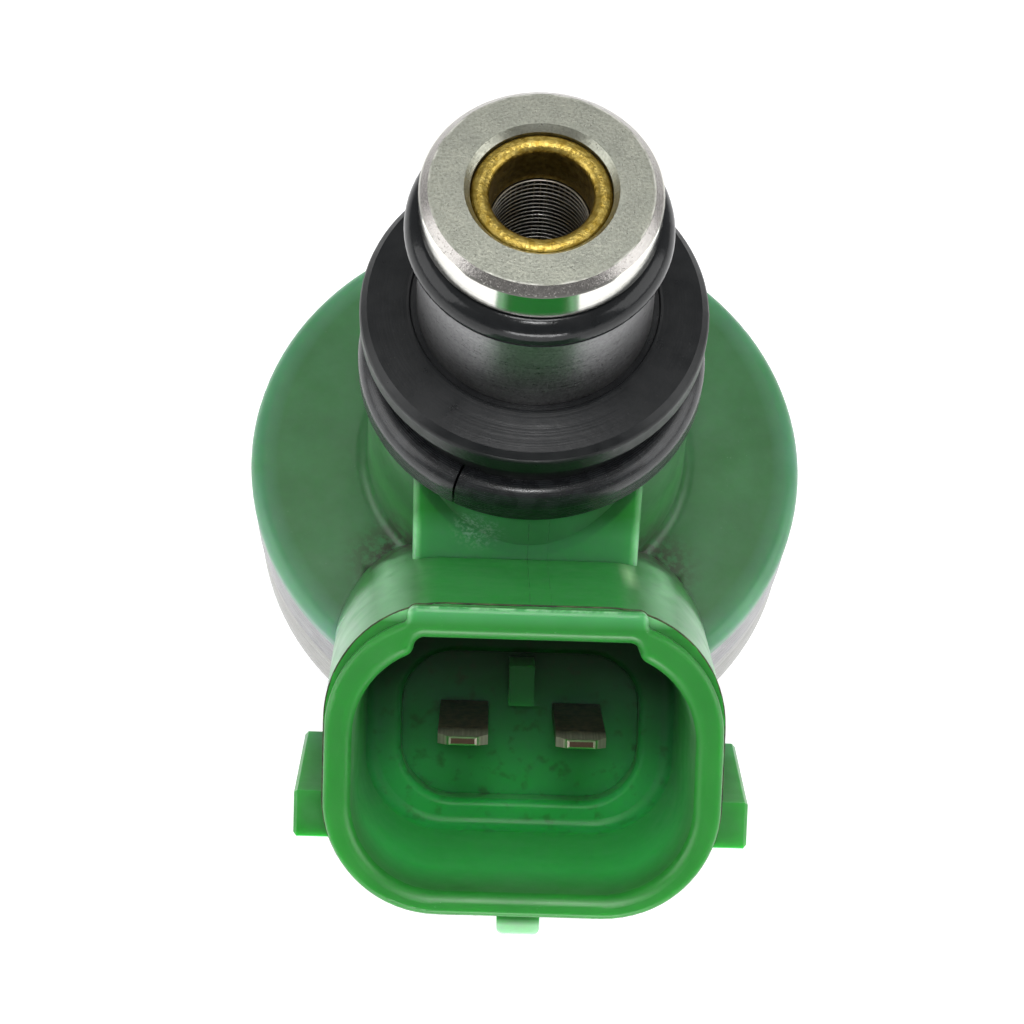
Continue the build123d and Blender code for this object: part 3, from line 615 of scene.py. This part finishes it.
def tarnished_tin():
    """Tinned terminal metal, brown with oxide, paler on the taper with painted highlight streaks, and
    worn bare with a painted highlight on the tip's edges.
    """
    s = Surface("tarnished_tin", 0.35)
    depth = s.along(SOCKET_IN, RIM_MIDDLE)
    end = s.spread(s.dot(s.facing, SOCKET_IN), -0.90, -0.97)
    # Painted highlight on the tip's worn edges
    worn_tip_highlight = s.both(s.ramp(depth, *BRIGHT_EDGE), s.off(end))
    # Painted light on the taper, with streaks of painted highlight
    lit_taper = s.both(s.ramp(depth, *TAPER), s.off(end), 0.8)
    lengthways = s.node("ShaderNodeCombineXYZ", X=s.axes()["X"]).outputs[0]
    streaks = s.noise(0.12, 3.0, 0.6, lengthways)
    colour = s.layers(
        s.blend(s.patches(0.35, 4.0, 0.65, 0.40, 0.60), OXIDE_BROWN, OXIDE_DARK),
        (lit_taper, s.blend(s.spread(streaks, 0.35, 0.65), TAPER_LIT_DULL, TAPER_HIGHLIGHT_PALE)),
        (end, END_BROWN),
        (worn_tip_highlight, BARE_TIN_HIGHLIGHT),
    )
    s.set(
        Metallic=s.spread(s.either(worn_tip_highlight, end), 0.0, 1.0, 0.45, 1.0),
        Base_Color=colour,
        Roughness=s.spread(worn_tip_highlight, 0.0, 1.0, 0.40, 0.28),
    )
    s.bumps((s.noise(0.12, 4.0), 0.004), (s.noise(0.5, 3.0), 0.006))
    return s.material


COPPER_WIRE_PITCH = 0.28 * MM


def enamelled_copper():
    """Copper wire laid turn on turn."""
    s = Surface("enamelled_copper", 0.25, 1.0)
    turns = s.sums("SINE", s.sums("MULTIPLY", s.height(), 2 * pi / COPPER_WIRE_PITCH))
    s.set(Base_Color=s.blend(s.noise(0.8, 3.0), rgb(0.62, 0.22, 0.08), rgb(0.80, 0.36, 0.15)))
    s.bumps((turns, 0.05), (s.noise(0.2, 3.0), 0.01))
    return s.material


def dark_flash():
    """Old flash: thin plastic stained brown, with greener stretches."""
    s = Surface("dark_flash", 0.5, IOR=1.5)
    tone = s.patches(0.8, 4.0, 0.6, 0.38, 0.62)
    s.set(Base_Color=s.blend(tone, rgb(0.018, 0.018, 0.008), rgb(0.07, 0.09, 0.03)))
    s.bumps((s.noise(0.1, 3.0), 0.01))
    return s.material


FLOOR_GLOW = 0.50


def pale_floor():
    """Plain white studio floor, lit a little from below like a light table."""
    s = Surface("pale_floor", 0.9)
    s.set(
        Base_Color=s.blend(s.noise(120.0, 2.0), rgb(0.84, 0.84, 0.84), rgb(0.86, 0.86, 0.86)),
        Specular_IOR_Level=0.1,
        Emission_Color=rgb(1.0, 1.0, 1.0),
        Emission_Strength=FLOOR_GLOW,
    )
    return s.material


GREEN = green_plastic()
INLET_STEEL = inlet_steel()
VALVE_STEEL = turned_steel("valve_steel", rgb(0.48, 0.48, 0.47), rgb(0.40, 0.40, 0.39))
HOUSING_STEEL = turned_steel("housing_steel", rgb(0.33, 0.33, 0.315), rgb(0.26, 0.26, 0.245), 0.15, 0.30)
DARK_STEEL = turned_steel("dark_steel", rgb(0.30, 0.30, 0.31), rgb(0.20, 0.20, 0.21), 0.12, 0.30)
SPRING_STEEL = turned_steel("spring_steel", rgb(0.60, 0.60, 0.60), rgb(0.42, 0.42, 0.43), 0.10, 0.22)
MESH_STEEL = turned_steel("mesh_steel", rgb(0.34, 0.33, 0.31), rgb(0.22, 0.21, 0.20), 0.10, 0.30)
BRASS = sintered_brass()
RING_RUBBER = seal_rubber("ring_rubber", 0.16, 0.002)
GROMMET_RUBBER = seal_rubber("grommet_rubber", 0.34, 0.008)
BLACK_PLASTIC = black_plastic()
RING_PLASTIC = worn_ring_plastic()
TIN = tarnished_tin()
COPPER = enamelled_copper()
FLASH = dark_flash()

NODE_MATERIALS = {
    "inlet_tube": INLET_STEEL,
    "filter_collar": BRASS,
    "filter_frame": BLACK_PLASTIC,
    "rail_oring": RING_RUBBER,
    "upper_grommet": GROMMET_RUBBER,
    "split_spacer_ring": RING_PLASTIC,
    "overmould_body": GREEN,
    "terminal_left": TIN,
    "terminal_right": TIN,
    "flux_plate": DARK_STEEL,
    "steel_housing": HOUSING_STEEL,
    "coil_bobbin": BLACK_PLASTIC,
    "coil_winding": COPPER,
    "bobbin_oring_upper": RING_RUBBER,
    "bobbin_oring_lower": RING_RUBBER,
    "nonmagnetic_sleeve": VALVE_STEEL,
    "adjuster_tube": BRASS,
    "armature": DARK_STEEL,
    "valve_needle": VALVE_STEEL,
    "valve_body": VALVE_STEEL,
    "valve_seat": VALVE_STEEL,
    "orifice_plate": VALVE_STEEL,
    "nozzle_oring": RING_RUBBER,
    "manifold_insulator": GROMMET_RUBBER,
    "nozzle_cap": BLACK_PLASTIC,
}

for node_name, node_material in NODE_MATERIALS.items():
    NODES[node_name].data.materials.clear()
    NODES[node_name].data.materials.append(node_material)


# --------------------------------------------------------------- fine pieces


def add_object(name, data):
    """New object in the scene."""
    made = bpy.data.objects.new(name, data)
    bpy.context.scene.collection.objects.link(made)
    return made


def circle_steps(count):
    """Angles of points evenly spaced round a circle."""
    return [2 * pi * i / count for i in range(count)]


def wire_section(points, i, radius, closed, sides):
    """Corners of a wire's round section at one of the points it follows."""
    count = len(points)
    before = points[(i - 1) % count] if closed or i > 0 else points[i]
    after = points[(i + 1) % count] if closed or i < count - 1 else points[i]
    along = (after - before).normalized()
    across = along.orthogonal().normalized() if abs(along.z) > 0.9 else Vector((0, 0, 1))
    third = along.cross(across)
    spokes = [cos(turn) * across + sin(turn) * third for turn in circle_steps(sides)]
    return [points[i] + radius * spoke for spoke in spokes]


def wires(name, lines, radius, closed, sides=6):
    """Mesh object of round wires that follow lists of points."""
    corners = []
    faces = []
    for points in lines:
        start = len(corners)
        count = len(points)
        for i in range(count):
            corners += wire_section(points, i, radius, closed, sides)
        for i in range(count if closed else count - 1):
            here = start + i * sides
            there = start + ((i + 1) % count) * sides
            for k in range(sides):
                following = (k + 1) % sides
                faces.append((here + k, here + following, there + following, there + k))
        if not closed:
            last = start + (count - 1) * sides
            faces.append(tuple(range(start + sides - 1, start - 1, -1)))
            faces.append(tuple(range(last, last + sides)))
    mesh = bpy.data.meshes.new(name)
    mesh.from_pydata(corners, [], faces)
    mesh.shade_smooth()
    return add_object(name, mesh)


MESH_WIRE = 0.05 * MM
MESH_PITCH = 0.30 * MM
MESH_RING_POINTS = 72
MESH_UPRIGHTS = 48


def filter_wires():
    """Woven wire sleeve of the inlet filter: rings crossed by upright wires."""
    low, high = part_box("filter_mesh")
    ring_radius = high[0] - 2 * MESH_WIRE
    upright_radius = ring_radius + 0.3 * MESH_WIRE
    rings = []
    for step in range(int((high[2] - low[2] - 2 * MESH_WIRE) / MESH_PITCH)):
        z = high[2] - MESH_WIRE - step * MESH_PITCH
        turns = circle_steps(MESH_RING_POINTS)
        rings.append([Vector((ring_radius * cos(turn), ring_radius * sin(turn), z)) for turn in turns])
    uprights = []
    for turn in circle_steps(MESH_UPRIGHTS):
        x = upright_radius * cos(turn)
        y = upright_radius * sin(turn)
        uprights.append([Vector((x, y, high[2])), Vector((x, y, low[2]))])
    sleeve = wires("filter_wires", rings, MESH_WIRE, closed=True)
    posts = wires("filter_uprights", uprights, MESH_WIRE * 0.5, closed=False)
    for piece in (sleeve, posts):
        piece.data.materials.append(MESH_STEEL)
        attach(piece, "injector_body")
    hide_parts("filter_mesh")


SPRING_WIRE = 0.25 * MM
SPRING_TURNS = 8
SPRING_STEPS = 40 * SPRING_TURNS


def coil_spring():
    """Return spring: a coil of wire in place of the solid spring, which it hides."""
    low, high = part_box("return_spring")
    radius = high[0] - SPRING_WIRE
    bottom = low[2] + SPRING_WIRE
    height = high[2] - SPRING_WIRE - bottom
    points = []
    for i in range(SPRING_STEPS + 1):
        turn = 2 * pi * SPRING_TURNS * i / SPRING_STEPS
        z = bottom + height * i / SPRING_STEPS
        points.append(Vector((radius * cos(turn), radius * sin(turn), z)))
    spring = wires("coil_spring", [points], SPRING_WIRE, closed=False, sides=12)
    spring.data.materials.append(SPRING_STEEL)
    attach(spring, "injector_body")
    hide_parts("return_spring")
    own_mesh(spring)


FLASH_DEPTH = 0.52 * MM
FLASH_RADIUS = 0.045 * MM
FLASH_WAVE = 0.03 * MM
FLASH_WAVE_LENGTHS = (0.7 * MM, 0.2 * MM)
FLASH_POINTS = 360
OUTSIDE_CONNECTOR = 14 * MM


def rim_outline(depth, count):
    """Points on the outer wall of the connector, all round it at one depth behind the rim."""
    shell = NODES["overmould_body"]
    middle = RIM_MIDDLE + SOCKET_IN * depth
    points = []
    for turn in circle_steps(count):
        outwards = Vector((cos(turn), 0, 0)) + SOCKET_UP * sin(turn)
        hit, place, _, _ = shell.ray_cast(middle + outwards * OUTSIDE_CONNECTOR, -outwards)
        if hit:
            points.append(place)
    return points


def mould_flash():
    """Thin uneven flash left by the mould, all round behind the rim."""
    flash = wires("mould_flash", [rim_outline(FLASH_DEPTH, FLASH_POINTS)], FLASH_RADIUS, closed=True)
    for side_highlight in flash.data.vertices:
        wave = sum(noise.noise(side_highlight.co / length) for length in FLASH_WAVE_LENGTHS)
        side_highlight.co -= SOCKET_IN * FLASH_WAVE * wave
    flash.data.materials.append(FLASH)
    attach(flash, "injector_body")


filter_wires()
coil_spring()
mould_flash()


# ------------------------------------------------------------ floor and light

FLOOR_HALF = 3.0
WHITE = rgb(1.0, 1.0, 1.0)

# The surroundings' strength towards the front and everywhere else, and between which
# forward directions it changes
WORLD_FRONT = 0.22
WORLD_REST = 0.34
WORLD_CHANGE = (-0.85, -0.10)

# Each soft box's name, place and size in metres, and power in watts
SOFT_BOXES = (
    ("left_box", (-0.34, -0.04, 0.16), (0.30, 0.30), 0.55),
    ("right_box", (0.34, -0.04, 0.16), (0.30, 0.30), 0.55),
    ("top_box", (0.0, -0.02, 0.45), (0.14, 0.10), 0.55),
    ("back_box", (0.0, 0.16, 0.42), (0.16, 0.12), 0.19),
    ("near_box", (0.0, -0.17, 0.42), (0.07, 0.04), 0.28),
    ("front_strip", (0.0, -0.45, 0.0), (0.30, 0.07), 0.80),
)


def make_floor():
    """Wide pale floor under the injector."""
    z = cad_box[0][2]
    sides = ((-1, -1), (1, -1), (1, 1), (-1, 1))
    corners = [(x * FLOOR_HALF, y * FLOOR_HALF, z) for x, y in sides]
    mesh = bpy.data.meshes.new("floor")
    mesh.from_pydata(corners, [], [(0, 1, 2, 3)])
    mesh.materials.append(pale_floor())
    add_object("floor", mesh)


def soft_light(name, place, size, power):
    """Soft box that faces the injector."""
    lamp = bpy.data.lights.new(name, "AREA")
    lamp.shape = "RECTANGLE"
    lamp.size, lamp.size_y = size
    lamp.energy = power
    place = Vector(place)
    turn = (place - AIM).to_track_quat("Z", "Y").to_matrix().to_4x4()
    add_object(name, lamp).matrix_world = Matrix.Translation(place) @ turn


def make_world():
    """Grey surroundings, dark towards the front."""
    world = bpy.data.worlds.new("studio")
    world.use_nodes = True
    tree = world.node_tree
    background = tree.nodes["Background"]
    place = tree.nodes.new("ShaderNodeTexCoord")
    parts = tree.nodes.new("ShaderNodeSeparateXYZ")
    ramp = tree.nodes.new("ShaderNodeMapRange")
    ramp.inputs["From Min"].default_value, ramp.inputs["From Max"].default_value = WORLD_CHANGE
    ramp.inputs["To Min"].default_value = WORLD_FRONT
    ramp.inputs["To Max"].default_value = WORLD_REST
    background.inputs["Color"].default_value = WHITE
    tree.links.new(place.outputs["Generated"], parts.inputs[0])
    tree.links.new(parts.outputs["Y"], ramp.inputs["Value"])
    tree.links.new(ramp.outputs["Result"], background.inputs["Strength"])
    bpy.context.scene.world = world


make_floor()
make_world()
for box_name, box_place, box_size, box_power in SOFT_BOXES:
    soft_light(box_name, box_place, box_size, box_power)
bpy.context.scene.view_settings.view_transform = "Standard"
